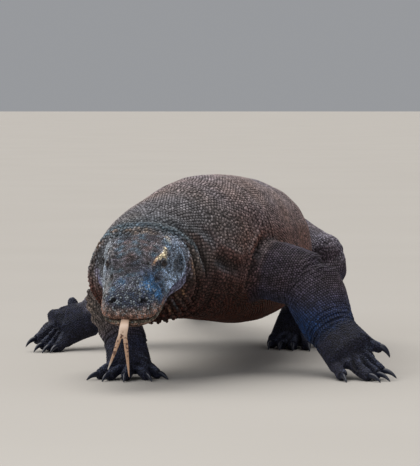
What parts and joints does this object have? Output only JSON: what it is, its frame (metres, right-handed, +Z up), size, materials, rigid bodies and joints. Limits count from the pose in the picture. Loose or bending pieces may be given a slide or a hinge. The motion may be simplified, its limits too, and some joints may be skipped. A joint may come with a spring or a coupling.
{
  "type": "komodo dragon",
  "caption": "Life-size Komodo dragon in mid-stride, head low with the forked tongue out, belly clear of the floor and tail trailing behind.",
  "frame": {"origin": "on the floor under the middle of the box that holds the whole animal", "axes": "the snout points towards -Y, the tail runs towards +Y, the animal's left side is +X and +Z is up"},
  "size_m": [0.7224, 2.5162, 0.3736],
  "materials": {
    "head_skin": "pebbly scales, grey-blue",
    "body_skin": "beaded scales, dusty grey-brown",
    "limb_skin": "ringed scales, dark blue-grey",
    "claw": "polished black horn",
    "eye": "wet gloss",
    "tongue": "moist satin"
  },
  "bodies": {
    "root": {"eye_left": "eye", "eye_right": "eye", "head": "head_skin", "left_fore_claw_1": "claw", "left_fore_claw_2": "claw", "left_fore_claw_3": "claw", "left_fore_claw_4": "claw", "left_fore_claw_5": "claw", "left_fore_foot": "limb_skin", "left_fore_forearm": "limb_skin", "left_fore_upper_arm": "limb_skin", "left_hind_claw_1": "claw", "left_hind_claw_2": "claw", "left_hind_claw_3": "claw", "left_hind_claw_4": "claw", "left_hind_claw_5": "claw", "left_hind_foot": "limb_skin", "left_hind_shin": "limb_skin", "left_hind_thigh": "limb_skin", "lower_jaw": "head_skin", "neck": "body_skin", "right_fore_claw_1": "claw", "right_fore_claw_2": "claw", "right_fore_claw_3": "claw", "right_fore_claw_4": "claw", "right_fore_claw_5": "claw", "right_fore_foot": "limb_skin", "right_fore_forearm": "limb_skin", "right_fore_upper_arm": "limb_skin", "right_hind_claw_1": "claw", "right_hind_claw_2": "claw", "right_hind_claw_3": "claw", "right_hind_claw_4": "claw", "right_hind_claw_5": "claw", "right_hind_foot": "limb_skin", "right_hind_shin": "limb_skin", "right_hind_thigh": "limb_skin", "tail_1": "body_skin", "tail_2": "body_skin", "tail_3": "body_skin", "tail_4": "body_skin", "tongue": "tongue", "trunk_front": "body_skin", "trunk_rear": "body_skin"}
  },
  "joints": []
}
